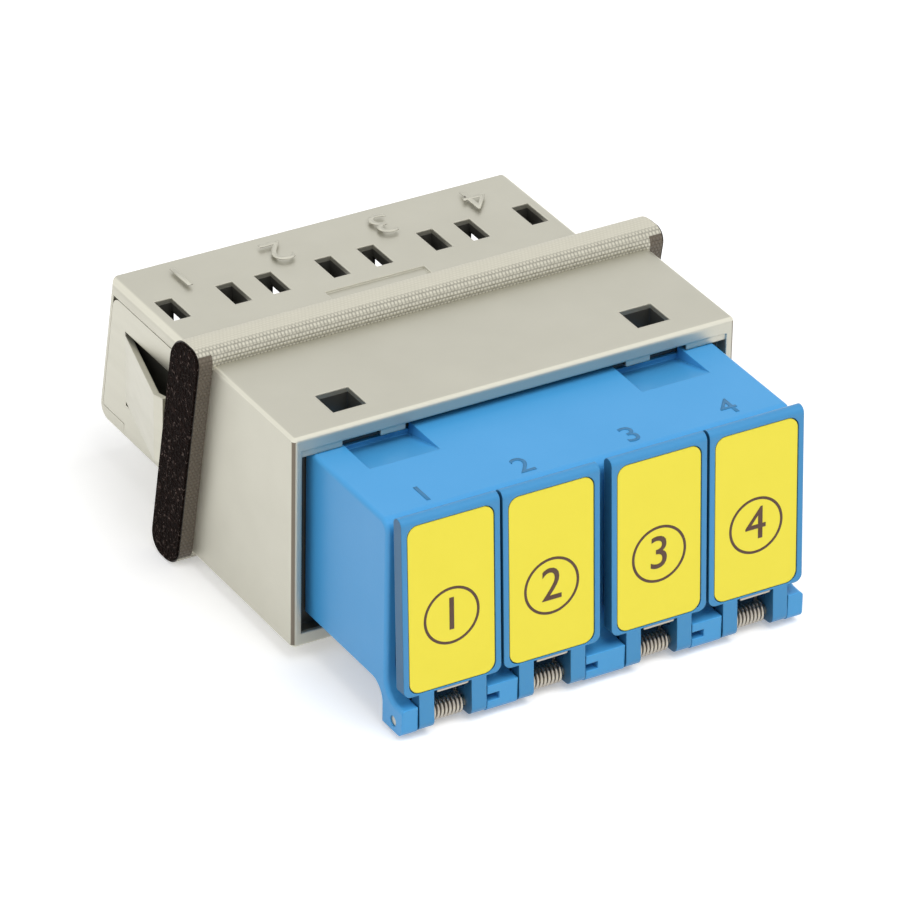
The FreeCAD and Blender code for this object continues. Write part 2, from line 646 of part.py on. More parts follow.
def write_parts():
    """Check every feature and write each piece under its own name."""
    doc.recompute()
    for item in doc.Objects:
        if "Invalid" in item.State or "Error" in item.State:
            raise RuntimeError(f"{item.Name} did not build: {item.State}")
    for body in pieces:
        if body.Shape.isNull() or not body.Shape.isValid():
            raise RuntimeError(f"{body.Label} has no valid shape")
    os.makedirs("parts", exist_ok=True)
    for body in pieces:
        body.Shape.exportStep(f"parts/{body.Label}.step")


fill_sheet()
metal_shell()
panel_clip()
gasket()
front_housing()
hinge_pin()
holder_half("sleeve_holder_front", -1)
holder_half("sleeve_holder_rear", 1)
for position in range(1, len(PORTS) + 1):
    alignment_sleeve(position)
    shutter_door(position)
    label(position)
    torsion_spring(position)
write_parts()
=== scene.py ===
"""Dresses the fibre adapter: finishes, springs, numbers, label marks, camera and light.

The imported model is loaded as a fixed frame.  Everything below is in metres in the same
frame: X across the ports, Y from the shutters to the rear ports, Z up.
"""
import json
import math
import bmesh
import bpy
from bpy.props import FloatProperty, FloatVectorProperty, IntProperty, PointerProperty
from mathutils import Matrix, Vector


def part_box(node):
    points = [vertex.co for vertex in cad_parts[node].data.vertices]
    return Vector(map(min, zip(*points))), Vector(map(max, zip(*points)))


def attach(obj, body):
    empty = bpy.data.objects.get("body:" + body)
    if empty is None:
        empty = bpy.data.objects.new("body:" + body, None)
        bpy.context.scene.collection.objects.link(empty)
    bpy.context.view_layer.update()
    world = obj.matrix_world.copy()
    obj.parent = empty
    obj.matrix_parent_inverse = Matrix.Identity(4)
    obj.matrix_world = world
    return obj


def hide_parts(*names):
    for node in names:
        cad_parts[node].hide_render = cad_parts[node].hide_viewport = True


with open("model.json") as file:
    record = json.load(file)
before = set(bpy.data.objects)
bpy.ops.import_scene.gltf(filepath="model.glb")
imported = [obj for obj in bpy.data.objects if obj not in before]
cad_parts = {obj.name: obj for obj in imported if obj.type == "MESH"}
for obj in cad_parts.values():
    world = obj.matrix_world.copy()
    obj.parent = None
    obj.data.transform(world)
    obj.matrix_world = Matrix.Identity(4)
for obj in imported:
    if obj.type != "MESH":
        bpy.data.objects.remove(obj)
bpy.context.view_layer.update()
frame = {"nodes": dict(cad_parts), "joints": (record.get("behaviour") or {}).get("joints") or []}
MM = 0.001

bl_info = {
    "name": "Fibre adapter",
    "version": (1, 0, 0),
    "blender": (4, 5, 0),
    "location": "3D View > Sidebar > Adapter",
    "description": "Dresses a quad fibre adapter with shutters and sets its stage",
    "category": "Object",
}

DOORS = (1, 2, 3, 4)
INSIDE_BLEND = 0.05 * MM
NOSE_NUMBER_START = 1.8 * MM
SLEEVE_NUMBER_START = 1.6 * MM
SLEEVE_NUMBER_SHARE = 0.6
LABEL_FOOT = Vector((0.0, -0.96 * MM, 1.88 * MM))
LOOK_POINT = Vector((0.0, 0.0, 6.0 * MM))
FLOOR_GLOW = 0.32
SKIRT_SHARE = 0.355
# Painted shade, dark brown, on the shell's upright rounded edges.
FOLD_SHADE_COLOUR = (0.11, 0.082, 0.058)
# Painted shade, brownish, on the gasket's front strip beside the hood.
STRIP_SHADE_COLOUR = (0.078, 0.056, 0.037)
STRUT_COLOUR = (0.036, 0.020, 0.016)
# Painted highlights on a few of the foam's struts.
FOAM_HIGHLIGHT_COLOUR = (0.34, 0.26, 0.23)


def length(name, value, description):
    """A length property, in metres, from a value in millimetres."""
    return FloatProperty(name=name, description=description, default=value * MM,
                         subtype="DISTANCE", unit="LENGTH")


def colour(name, value, description):
    """A colour property, in linear light."""
    return FloatVectorProperty(name=name, description=description, default=value,
                               size=3, min=0.0, max=1.0, subtype="COLOR")


class AdapterColours(bpy.types.PropertyGroup):
    """The base colours of the finishes."""
    metal: colour("Metal", (0.585, 0.57, 0.485), "Nickel-plated zinc of the shell")
    steel: colour("Steel", (0.50, 0.46, 0.40), "Spring steel of the clip, pin and springs")
    blue: colour("Blue", (0.062, 0.325, 0.66), "Moulded plastic of the housing and doors")
    yellow: colour("Yellow", (0.84, 0.725, 0.04), "Face of the labels")
    ink: colour("Ink", (0.060, 0.026, 0.014), "Print on the labels")
    cloth: colour("Cloth", (0.66, 0.635, 0.53), "Conductive cloth of the gasket")
    foam: colour("Foam", (0.008, 0.005, 0.004), "Open-cell foam inside the gasket")
    holder: colour("Holder", (0.78, 0.75, 0.66), "Plastic of the sleeve holders")
    ceramic: colour("Ceramic", (0.86, 0.84, 0.78), "Zirconia of the alignment sleeves")


class AdapterSprings(bpy.types.PropertyGroup):
    """Sizes of the torsion springs."""
    wire: length("Wire", 0.2, "Diameter of the wire")
    radius: length("Coil radius", 0.5, "From the hinge line to the middle of the wire")
    long: length("Coil length", 1.92, "Length of the coil between the middles of its ends")
    turns: FloatProperty(name="Turns", description="Turns of the coil", default=8.0, min=1.0)
    steps: IntProperty(name="Steps", description="Control points in one turn", default=14,
                       min=6)
    leg: length("Leg height", 1.65, "How far the hooked leg rises above the hinge line")
    front: length("Leg front", 0.9, "How far the hooked leg lies ahead of the hinge line")
    hook: length("Hook", 1.95, "Length of the hooked leg along the foot of the door")
    skirt_back: length("Skirt back", 0.82, "From the hinge line back to the skirt")
    skirt_top: length("Skirt top", 1.6, "From the hinge line up to the foot of the nose")
    lean: FloatProperty(name="Door lean", description="How far the closed doors lean back",
                        default=math.radians(3.2), subtype="ANGLE", unit="ROTATION")


class AdapterGasket(bpy.types.PropertyGroup):
    """Sizes of the gasket and of the shell that carries it."""
    slant: FloatProperty(name="Slant", description="Lean of the gasket and the hood's back",
                         default=math.radians(10.5), subtype="ANGLE", unit="ROTATION")
    top_front: length("Top front fold", 1.0, "Radius of the fold at the top, hood side")
    top_back: length("Top back fold", 1.5, "Radius of the fold at the top, panel side")
    low_front: length("Low front fold", 1.25, "Radius of the fold at the foot, hood side")
    low_back: length("Low back fold", 1.35, "Radius of the fold at the foot, panel side")
    cloth: length("Cloth", 0.1, "How much smaller the foam is than the cloth all round")
    foam_proud: length("Foam ends", 0.12, "How far the foam stands out of the cloth")
    hole: length("Hole gap", 0.06, "Gap between the sleeve and the gasket")
    sleeve_half: length("Sleeve half", 12.8, "From the middle to the sleeve's sides")
    sleeve_tall: length("Sleeve height", 9.66, "Height of the sleeve")
    wall: length("Lit wall", 0.28, "Depth past which the shell's inside lies in shade")


class AdapterMarks(bpy.types.PropertyGroup):
    """Sizes of the numbers and of the label marks."""
    nose_height: length("Nose number", 1.5, "Height of the numbers on the housing")
    nose_back: length("Nose number place", 1.7, "From the nose's front to the numbers")
    sleeve_height: length("Sleeve number", 2.2, "Height of the numbers on the sleeve")
    sleeve_back: length("Sleeve number place", 2.0, "From the sleeve's rear to the numbers")
    raised: length("Raised", 0.035, "How far the numbers stand proud")
    ring: length("Ring", 1.62, "Radius of the ring on each label")
    line: length("Line", 0.16, "Width of the ring's line")
    digit: length("Digit", 1.95, "Height of the digit in each ring")
    drop: length("Drop", 0.9, "From the middle of a label down to its mark")
    ink: length("Ink", 0.012, "Thickness of the print")


class AdapterStage(bpy.types.PropertyGroup):
    """Camera, lamps and floor."""
    azimuth: FloatProperty(name="Azimuth", description="Turn of the camera about Z",
                           default=math.radians(30.82), subtype="ANGLE", unit="ROTATION")
    elevation: FloatProperty(name="Elevation", description="Camera above the horizon",
                             default=math.radians(30.60), subtype="ANGLE", unit="ROTATION")
    roll: FloatProperty(name="Roll", description="Turn of the camera about its own line",
                        default=math.radians(-1.1), subtype="ANGLE", unit="ROTATION")
    distance: length("Distance", 352.5, "From the camera to the point it looks at")
    across: length("Look across", -8.34, "Sideways from the labels' foot to the middle of view")
    above: length("Look above", 10.05, "Upwards from the labels' foot to the middle of view")
    lens: FloatProperty(name="Lens", description="Focal length in millimetres", default=264.2)
    floor: colour("Floor", (0.86, 0.86, 0.86), "Colour of the floor")
    world: FloatProperty(name="World", description="Strength of the surroundings",
                         default=0.46)
    key: FloatProperty(name="Key", description="Power of the key lamp in watts", default=1.35)
    fill: FloatProperty(name="Fill", description="Power of the fill lamp in watts",
                        default=0.42)


# ---------------------------------------------------------------- node groups

def new_group(name, inputs, outputs):
    """A shader node group with float or vector sockets, and its two end nodes."""
    group = bpy.data.node_groups.new(name, "ShaderNodeTree")
    for socket, kind, value in inputs:
        made = group.interface.new_socket(name=socket, in_out="INPUT",
                                          socket_type="NodeSocket" + kind)
        if value is not None:
            made.default_value = value
    for socket, kind in outputs:
        group.interface.new_socket(name=socket, in_out="OUTPUT",
                                   socket_type="NodeSocket" + kind)
    return group, group.nodes.new("NodeGroupInput"), group.nodes.new("NodeGroupOutput")


def maths(tree, operation, *values):
    """A Math node; each value is a socket or a number."""
    node = tree.nodes.new("ShaderNodeMath")
    node.operation = operation
    for slot, value in zip(node.inputs, values):
        if isinstance(value, (int, float)):
            slot.default_value = value
        else:
            tree.links.new(value, slot)
    return node.outputs[0]


def clamped(tree, value):
    """A value kept between zero and one."""
    return maths(tree, "MINIMUM", maths(tree, "MAXIMUM", value, 0.0), 1.0)


def parts_of(tree, vector):
    """The three parts of a vector, each under its letter."""
    node = tree.nodes.new("ShaderNodeSeparateXYZ")
    tree.links.new(vector, node.inputs[0])
    return node.outputs


def vector_maths(tree, operation, *vectors):
    """A Vector Math node fed by sockets."""
    node = tree.nodes.new("ShaderNodeVectorMath")
    node.operation = operation
    for slot, vector in zip(node.inputs, vectors):
        tree.links.new(vector, slot)
    return node.outputs


def noise(tree, vector, scale, detail=2.0, roughness=0.5):
    """A Noise texture; scale is a socket or a number."""
    node = tree.nodes.new("ShaderNodeTexNoise")
    node.inputs["Detail"].default_value = detail
    node.inputs["Roughness"].default_value = roughness
    tree.links.new(vector, node.inputs["Vector"])
    if isinstance(scale, (int, float)):
        node.inputs["Scale"].default_value = scale
    else:
        tree.links.new(scale, node.inputs["Scale"])
    return node.outputs["Fac"]


def grain_group():
    """Fine grain over broad unevenness, as moulded or cast surfaces have."""
    group, start, end = new_group(
        "surface_grain", [("Vector", "Vector", None), ("Fine", "Float", 9000.0),
                          ("Broad", "Float", 350.0)],
        [("Height", "Float"), ("Broad", "Float")])
    fine = noise(group, start.outputs["Vector"], start.outputs["Fine"], 3.0, 0.6)
    broad = noise(group, start.outputs["Vector"], start.outputs["Broad"], 3.0, 0.55)
    height = maths(group, "ADD", maths(group, "MULTIPLY", fine, 0.6),
                   maths(group, "MULTIPLY", broad, 0.4))
    group.links.new(height, end.inputs["Height"])
    group.links.new(broad, end.inputs["Broad"])
    return group


def edge_group():
    """Rounded normals at sharp edges, and a mask of where those edges are."""
    group, start, end = new_group(
        "soft_edges", [("Radius", "Float", 0.0001)], [("Normal", "Vector"), ("Edge", "Float")])
    bevel = group.nodes.new("ShaderNodeBevel")
    bevel.samples = 6
    group.links.new(start.outputs["Radius"], bevel.inputs["Radius"])
    flat = group.nodes.new("ShaderNodeNewGeometry")
    dot = vector_maths(group, "DOT_PRODUCT", bevel.outputs[0], flat.outputs["Normal"])
    edge = maths(group, "MULTIPLY", maths(group, "SUBTRACT", 1.0, dot["Value"]), 4.0)
    edge = maths(group, "MINIMUM", edge, 1.0)
    group.links.new(bevel.outputs[0], end.inputs["Normal"])
    group.links.new(edge, end.inputs["Edge"])
    return group


def weave_group():
    """A plain weave that follows X and whichever of Y or Z the surface runs along."""
    group, start, end = new_group(
        "plain_weave", [("Vector", "Vector", None), ("Facing", "Vector", None),
                        ("Pitch", "Float", 0.0003)],
        [("Height", "Float"), ("Thread", "Float")])
    place = parts_of(group, start.outputs["Vector"])
    facing = parts_of(group, start.outputs["Facing"])
    on_top = maths(group, "GREATER_THAN", maths(group, "ABSOLUTE", facing["Z"]), 0.7)
    along_y = maths(group, "MULTIPLY", place["Y"], on_top)
    along_z = maths(group, "MULTIPLY", place["Z"], maths(group, "SUBTRACT", 1.0, on_top))
    wave = maths(group, "DIVIDE", math.pi, start.outputs["Pitch"])
    u = maths(group, "MULTIPLY", place["X"], wave)
    v = maths(group, "MULTIPLY", maths(group, "ADD", along_y, along_z), wave)
    row = maths(group, "FLOOR", maths(group, "DIVIDE", v, math.pi))
    u = maths(group, "ADD", u, maths(group, "MULTIPLY", row, math.pi / 2))
    warp = maths(group, "ABSOLUTE", maths(group, "SINE", u))
    weft = maths(group, "ABSOLUTE", maths(group, "SINE", v))
    parity = maths(group, "MULTIPLY", maths(group, "SINE", maths(group, "MULTIPLY", u, 0.5)),
                   maths(group, "SINE", maths(group, "MULTIPLY", v, 0.5)))
    over = maths(group, "GREATER_THAN", parity, 0.0)
    height = maths(group, "POWER", maths(group, "MULTIPLY", warp, weft), 0.7)
    lift = maths(group, "ADD", maths(group, "MULTIPLY", over, 0.35), 0.65)
    group.links.new(maths(group, "MULTIPLY", height, lift), end.inputs["Height"])
    group.links.new(height, end.inputs["Thread"])
    return group


def foam_group():
    """Open cells: dark pits between thin struts."""
    group, start, end = new_group(
        "open_cells", [("Vector", "Vector", None), ("Scale", "Float", 1900.0)],
        [("Height", "Float"), ("Strut", "Float")])
    cells = group.nodes.new("ShaderNodeTexVoronoi")
    cells.feature = "DISTANCE_TO_EDGE"
    group.links.new(start.outputs["Vector"], cells.inputs["Vector"])
    group.links.new(start.outputs["Scale"], cells.inputs["Scale"])
    rough = noise(group, start.outputs["Vector"], 3200.0, 4.0, 0.65)
    strut = maths(group, "SUBTRACT", 1.0, maths(group, "MULTIPLY", cells.outputs["Distance"], 4.0))
    strut = maths(group, "MAXIMUM", strut, 0.0)
    group.links.new(maths(group, "ADD", strut, maths(group, "MULTIPLY", rough, 0.8)),
                    end.inputs["Height"])
    group.links.new(maths(group, "MULTIPLY", strut, rough), end.inputs["Strut"])
    return group


def inside_group():
    """One inside a box given by its middle and half sizes, and zero outside it."""
    group, start, end = new_group(
        "inside_box", [("Vector", "Vector", None), ("Middle", "Vector", None),
                       ("Half", "Vector", None)], [("Inside", "Float")])
    apart = vector_maths(group, "SUBTRACT", start.outputs["Vector"], start.outputs["Middle"])[0]
    size = vector_maths(group, "ABSOLUTE", apart)[0]
    room = parts_of(group, vector_maths(group, "SUBTRACT", start.outputs["Half"], size)[0])
    least = maths(group, "MINIMUM", maths(group, "MINIMUM", room["X"], room["Y"]), room["Z"])
    deep = maths(group, "MULTIPLY", least, 1.0 / INSIDE_BLEND)
    group.links.new(clamped(group, deep), end.inputs["Inside"])
    return group


def fold_group():
    """Masks of rounded edges, from a surface that faces along none of the axes."""
    group, start, end = new_group(
        "rounded_edges", [("Facing", "Vector", None)], [("Edge", "Float"), ("Upright", "Float")])
    size = parts_of(group, vector_maths(group, "ABSOLUTE", start.outputs["Facing"])[0])
    most = maths(group, "MAXIMUM", maths(group, "MAXIMUM", size["X"], size["Y"]), size["Z"])
    edge = clamped(group, maths(group, "MULTIPLY", maths(group, "SUBTRACT", 0.97, most), 12.0))
    upright = maths(group, "MULTIPLY", edge, maths(group, "LESS_THAN", size["Z"], 0.25))
    group.links.new(edge, end.inputs["Edge"])
    group.links.new(upright, end.inputs["Upright"])
    return group


GROUPS = {"grain": grain_group, "folds": fold_group, "edges": edge_group, "weave": weave_group,
          "foam": foam_group, "inside": inside_group}
made_groups = {}


def use(tree, name, **values):
    """Place one of the shared groups in a material."""
    if name not in made_groups:
        made_groups[name] = GROUPS[name]()
    node = tree.nodes.new("ShaderNodeGroup")
    node.node_tree = made_groups[name]
    for socket, value in values.items():
        if isinstance(value, (int, float)):
            node.inputs[socket].default_value = value
        else:
            tree.links.new(value, node.inputs[socket])
    return node


# ------------------------------------------------------------------ materials

def new_material(name, roughness, metallic=0.0, specular=0.5):
    """A material with a Principled shader and object coordinates."""
    material = bpy.data.materials.new(name)
    material.use_nodes = True
    tree = material.node_tree
    shader = tree.nodes["Principled BSDF"]
    shader.inputs["Roughness"].default_value = roughness
    shader.inputs["Metallic"].default_value = metallic
    shader.inputs["Specular IOR Level"].default_value = specular
    coordinates = tree.nodes.new("ShaderNodeTexCoord")
    return material, tree, shader, coordinates


def tint(tree, shader, base, masks):
    """Mix the base colour towards others: masks holds (socket, colour, strength)."""
    last = tree.nodes.new("ShaderNodeRGB")
    last.outputs[0].default_value = (*base, 1.0)
    last = last.outputs[0]
    for mask, other, strength in masks:
        mix = tree.nodes.new("ShaderNodeMix")
        mix.data_type = "RGBA"
        tree.links.new(maths(tree, "MULTIPLY", mask, strength), mix.inputs["Factor"])
        tree.links.new(last, mix.inputs["A"])
        mix.inputs["B"].default_value = (*other, 1.0)
        last = mix.outputs["Result"]
    tree.links.new(last, shader.inputs["Base Color"])


def bump(tree, shader, height, distance, strength=1.0, normal=None):
    """Feed a Bump node from a height to the shader's normal."""
    node = tree.nodes.new("ShaderNodeBump")
    node.inputs["Distance"].default_value = distance
    node.inputs["Strength"].default_value = strength
    tree.links.new(height, node.inputs["Height"])
    if normal is not None:
        tree.links.new(normal, node.inputs["Normal"])
    tree.links.new(node.outputs[0], shader.inputs["Normal"])


def vary_roughness(tree, shader, mask, low, high):
    """Let the roughness run between two values with a mask."""
    value = maths(tree, "ADD", maths(tree, "MULTIPLY", mask, high - low), low)
    tree.links.new(value, shader.inputs["Roughness"])


def shade(base, factor):
    """A colour made lighter or darker."""
    return tuple(min(1.0, c * factor) for c in base)


def shade_boxes(tree, place, gasket):
    """Masks of painted shade on the shell's inside: the hood's, the sleeve's, and the wells by the
    fingers, where the real shell has an open pocket.
    """
    low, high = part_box("metal_shell")
    clip_low, clip_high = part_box("panel_clip")
    middle = (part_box("sleeve_holder_front")[0][2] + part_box("sleeve_holder_front")[1][2]) / 2
    hood_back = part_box("gasket_fabric")[0][1]
    wall, half = gasket.wall, gasket.sleeve_half
    front, rear = low[1] + 0.7 * wall, high[1] - 6.0 * wall
    boxes = [
        ((0.0, (front + hood_back) / 2, (low[2] + high[2]) / 2),
         (high[0] - 1.9 * wall, (hood_back - front) / 2, (high[2] - low[2]) / 2 - wall)),
        ((0.0, (hood_back + rear) / 2, middle),
         (half - 2.0 * wall, (rear - hood_back) / 2, gasket.sleeve_tall / 2 - wall)),
        ((0.0, (clip_low[1] + clip_high[1]) / 2, middle),
         (half - 1.2 * wall, (clip_high[1] - clip_low[1]) * 0.34, gasket.sleeve_tall * 0.28)),
    ]
    total = None
    for centre, size in boxes:
        box = use(tree, "inside", Vector=place.outputs["Object"])
        box.inputs["Middle"].default_value = centre
        box.inputs["Half"].default_value = size
        mask = box.outputs["Inside"]
        total = mask if total is None else maths(tree, "MAXIMUM", total, mask)
    return total


def cast_metal(colours, gasket):
    """Satin nickel on a zinc casting, with painted highlights along its edges and rounded folds,
    painted brown shade on its upright folds and painted shade inside.
    """
    material, tree, shader, place = new_material("cast_metal", 0.42, 0.8)
    grain = use(tree, "grain", Vector=place.outputs["Object"], Fine=7000.0, Broad=260.0)
    edges = use(tree, "edges", Radius=0.00014)
    inside = shade_boxes(tree, place, gasket)
    folds = use(tree, "folds", Facing=place.outputs["Normal"])
    base = colours.metal
    # Painted highlights on sharp edges and rounded folds, painted shade on upright folds and
    # inside.
    tint(tree, shader, base, [(grain.outputs["Broad"], shade(base, 0.88), 0.6),
                              (edges.outputs["Edge"], shade(base, 1.35), 0.8),
                              (folds.outputs["Edge"], shade(base, 1.4), 0.75),
                              (folds.outputs["Upright"], FOLD_SHADE_COLOUR, 0.9),
                              (inside, shade(base, 0.07), 0.97)])
    vary_roughness(tree, shader, grain.outputs["Broad"], 0.36, 0.5)
    # Less metallic sheen where the painted shade lies.
    tree.links.new(maths(tree, "SUBTRACT", 0.8, maths(tree, "MULTIPLY", inside, 0.6)),
                   shader.inputs["Metallic"])
    bump(tree, shader, grain.outputs["Height"], 0.00001, 0.5, edges.outputs["Normal"])
    return material


def sprung_strip(colours):
    """Bright nickel-plated strip, rolled along its length, with painted highlights along its
    edges.
    """
    material, tree, shader, place = new_material("sprung_strip", 0.36, 0.85)
    along = tree.nodes.new("ShaderNodeMapping")
    along.inputs["Scale"].default_value = (1.0, 0.06, 1.0)
    tree.links.new(place.outputs["Object"], along.inputs["Vector"])
    grain = use(tree, "grain", Vector=along.outputs["Vector"], Fine=14000.0, Broad=1400.0)
    edges = use(tree, "edges", Radius=0.00008)
    base = shade(colours.metal, 1.0)
    tint(tree, shader, base, [(grain.outputs["Broad"], shade(base, 0.86), 0.5),
                              (edges.outputs["Edge"], shade(base, 1.3), 0.7)])
    vary_roughness(tree, shader, grain.outputs["Broad"], 0.3, 0.44)
    bump(tree, shader, grain.outputs["Height"], 0.000006, 0.5, edges.outputs["Normal"])
    return material


def spring_steel(colours):
    """Rolled spring steel with a faint drawn grain and painted highlights along its edges."""
    material, tree, shader, place = new_material("spring_steel", 0.3, 1.0)
    grain = use(tree, "grain", Vector=place.outputs["Object"], Fine=9000.0, Broad=600.0)
    edges = use(tree, "edges", Radius=0.00006)
    base = colours.steel
    tint(tree, shader, base, [(grain.outputs["Broad"], shade(base, 0.8), 0.6),
                              (edges.outputs["Edge"], shade(base, 1.4), 0.7)])
    vary_roughness(tree, shader, grain.outputs["Broad"], 0.22, 0.4)
    bump(tree, shader, grain.outputs["Height"], 0.000006, 0.5, edges.outputs["Normal"])
    return material


def moulded(name, base, roughness, fine=8000.0, depth=0.000012, sides=0.0):
    """Moulded plastic: a faint spark-eroded grain, painted highlights along the edges and, if
    asked, painted shade on the faces that look along X.
    """
    material, tree, shader, place = new_material(name, roughness, specular=0.35)
    grain = use(tree, "grain", Vector=place.outputs["Object"], Fine=fine, Broad=240.0)
    edges = use(tree, "edges", Radius=0.00012)
    facing = parts_of(tree, place.outputs["Normal"])
    # Faces that look along X get painted shade, as in the gaps between the doors.
    shaded_sides = maths(tree, "GREATER_THAN", maths(tree, "ABSOLUTE", facing["X"]), 0.7)
    tint(tree, shader, base, [(grain.outputs["Broad"], shade(base, 0.88), 0.5),
                              (shaded_sides, shade(base, 0.3), sides),
                              (edges.outputs["Edge"], shade(base, 1.5), 0.5)])
    vary_roughness(tree, shader, grain.outputs["Broad"], roughness - 0.07, roughness + 0.07)
    bump(tree, shader, grain.outputs["Height"], depth, 0.6, edges.outputs["Normal"])
    return material


def label_card(colours):
    """Smooth printed card with the faintest orange peel."""
    material, tree, shader, place = new_material("label_card", 0.42)
    grain = use(tree, "grain", Vector=place.outputs["Object"], Fine=5000.0, Broad=420.0)
    edges = use(tree, "edges", Radius=0.00005)
    base = colours.yellow
    tint(tree, shader, base, [(grain.outputs["Broad"], shade(base, 0.93), 0.6),
                              (edges.outputs["Edge"], shade(base, 0.75), 0.6)])
    vary_roughness(tree, shader, grain.outputs["Broad"], 0.36, 0.5)
    bump(tree, shader, grain.outputs["Height"], 0.000008, 0.4, edges.outputs["Normal"])
    return material


def label_ink(colours):
    """Dark brown ink, slightly uneven."""
    material, tree, shader, place = new_material("label_ink", 0.5)
    grain = use(tree, "grain", Vector=place.outputs["Object"], Fine=9000.0, Broad=2200.0)
    base = colours.ink
    tint(tree, shader, base, [(grain.outputs["Broad"], shade(base, 1.9), 0.6)])
    bump(tree, shader, grain.outputs["Height"], 0.000004, 0.5)
    return material


def gasket_cloth(colours):
    """Conductive cloth: smooth where it lies flat, its weave raised along the front fold, with
    painted shade in the weave's gaps that is strongest there and painted shade on the front strip
    beside the hood.
    """
    material, tree, shader, place = new_material("gasket_cloth", 0.5, 0.55)
    weave = use(tree, "weave", Vector=place.outputs["Object"], Facing=place.outputs["Normal"],
                Pitch=0.00022)
    grain = use(tree, "grain", Vector=place.outputs["Object"], Fine=9000.0, Broad=900.0)
    facing = parts_of(tree, place.outputs["Normal"])
    ahead = maths(tree, "MULTIPLY", facing["Y"], -1.0)
    fold = clamped(tree, maths(tree, "MULTIPLY", maths(tree, "ADD", ahead, -0.08), 3.5))
    cut = maths(tree, "GREATER_THAN", maths(tree, "ABSOLUTE", facing["X"]), 0.9)
    spot = parts_of(tree, place.outputs["Object"])
    hood_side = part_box("metal_shell")[1][0]
    beside = maths(tree, "GREATER_THAN", maths(tree, "ABSOLUTE", spot["X"]), hood_side)
    # The strip that faces forward beside the hood gets painted shade.
    front = maths(tree, "MULTIPLY", beside, maths(tree, "GREATER_THAN", ahead, 0.8))
    base = colours.cloth
    # Painted shade in the weave's gaps, strongest on the forward-facing fold where the light
    # grazes.
    weave_shade = maths(tree, "MULTIPLY", maths(tree, "SUBTRACT", 1.0, weave.outputs["Thread"]),
                 maths(tree, "ADD", maths(tree, "MULTIPLY", fold, 0.75), 0.12))
    tint(tree, shader, base, [(grain.outputs["Broad"], shade(base, 0.88), 0.5),
                              (weave_shade, shade(base, 0.4), 0.9),
                              (front, STRIP_SHADE_COLOUR, 0.9),
                              (cut, colours.foam, 0.95)])
    vary_roughness(tree, shader, weave.outputs["Thread"], 0.62, 0.42)
    dull = maths(tree, "MAXIMUM", front, cut)
    tree.links.new(maths(tree, "SUBTRACT", 0.55, maths(tree, "MULTIPLY", dull, 0.45)),
                   shader.inputs["Metallic"])
    lift = maths(tree, "MULTIPLY", weave.outputs["Height"],
                 maths(tree, "ADD", maths(tree, "MULTIPLY", fold, 0.85), 0.15))
    bump(tree, shader, lift, 0.00005, 0.9)
    return material


def gasket_foam(colours):
    """Near-black open-cell foam with painted highlights on a few struts."""
    material, tree, shader, place = new_material("gasket_foam", 0.85, 0.0, 0.04)
    cells = use(tree, "foam", Vector=place.outputs["Object"], Scale=2900.0)
    painted_glint = noise(tree, place.outputs["Object"], 5200.0, 2.0, 0.5)
    painted_glint = maths(tree, "MULTIPLY", maths(tree, "GREATER_THAN", painted_glint, 0.62),
                  cells.outputs["Strut"])
    base = colours.foam
    tint(tree, shader, base, [(cells.outputs["Strut"], STRUT_COLOUR, 0.8),
                              (painted_glint, FOAM_HIGHLIGHT_COLOUR, 0.9)])
    bump(tree, shader, cells.outputs["Height"], 0.0002, 1.0)
    return material


def glazed(colours):
    """Polished zirconia, nearly white."""
    material, tree, shader, place = new_material("zirconia", 0.16)
    grain = use(tree, "grain", Vector=place.outputs["Object"], Fine=9000.0, Broad=1500.0)
    base = colours.ceramic
    tint(tree, shader, base, [(grain.outputs["Broad"], shade(base, 0.94), 0.7)])
    vary_roughness(tree, shader, grain.outputs["Broad"], 0.12, 0.22)
    bump(tree, shader, grain.outputs["Height"], 0.000002, 0.4)
    return material


def dress(nodes, material):
    """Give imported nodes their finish."""
    for name in nodes:
        node = frame["nodes"][name]
        node.data.materials.clear()
        node.data.materials.append(material)


# --------------------------------------------------------------- making pieces

def finish_piece(mesh, name, material, body):
    """Turn a mesh, already in place, into an object that rides on a body."""
    piece = bpy.data.objects.new(name, mesh)
    bpy.context.scene.collection.objects.link(piece)
    mesh.materials.clear()
    mesh.materials.append(material)
    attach(piece, body)
    return piece


def as_mesh(shape, name):
    """Turn a bmesh into a mesh and free it."""
    mesh = bpy.data.meshes.new(name)
    shape.to_mesh(mesh)
    shape.free()
    return mesh


def box_shape(low, high):
    """A box between two corners, as a bmesh."""
    shape = bmesh.new()
    bmesh.ops.create_cube(shape, size=1.0)
    bmesh.ops.scale(shape, vec=high - low, verts=shape.verts)
    bmesh.ops.translate(shape, vec=(low + high) / 2, verts=shape.verts)
    return shape


def curve_mesh(points, radius, sides=3):
    """A round wire along a smooth curve through a list of points, as a mesh."""
    data = bpy.data.curves.new("wire", "CURVE")
    data.dimensions = "3D"
    data.bevel_depth = radius
    data.bevel_resolution = sides
    data.resolution_u = 3
    data.use_fill_caps = True
    spline = data.splines.new("NURBS")
    spline.points.add(len(points) - 1)
    for point, place in zip(spline.points, points):
        point.co = (*place, 1.0)
    spline.order_u = 3
    spline.use_endpoint_u = True
    holder = bpy.data.objects.new("wire", data)
    mesh = bpy.data.meshes.new_from_object(holder)
    bpy.data.objects.remove(holder)
    return mesh


def move_mesh(mesh, matrix):
    """Move a mesh's points, with its faces kept turned outwards."""
    shape = bmesh.new()
    shape.from_mesh(mesh)
    bmesh.ops.remove_doubles(shape, verts=shape.verts, dist=1e-7)
    bmesh.ops.transform(shape, matrix=matrix, verts=shape.verts)
    bmesh.ops.recalc_face_normals(shape, faces=shape.faces)
    for face in shape.faces:
        face.smooth = True
    shape.to_mesh(mesh)
    shape.free()


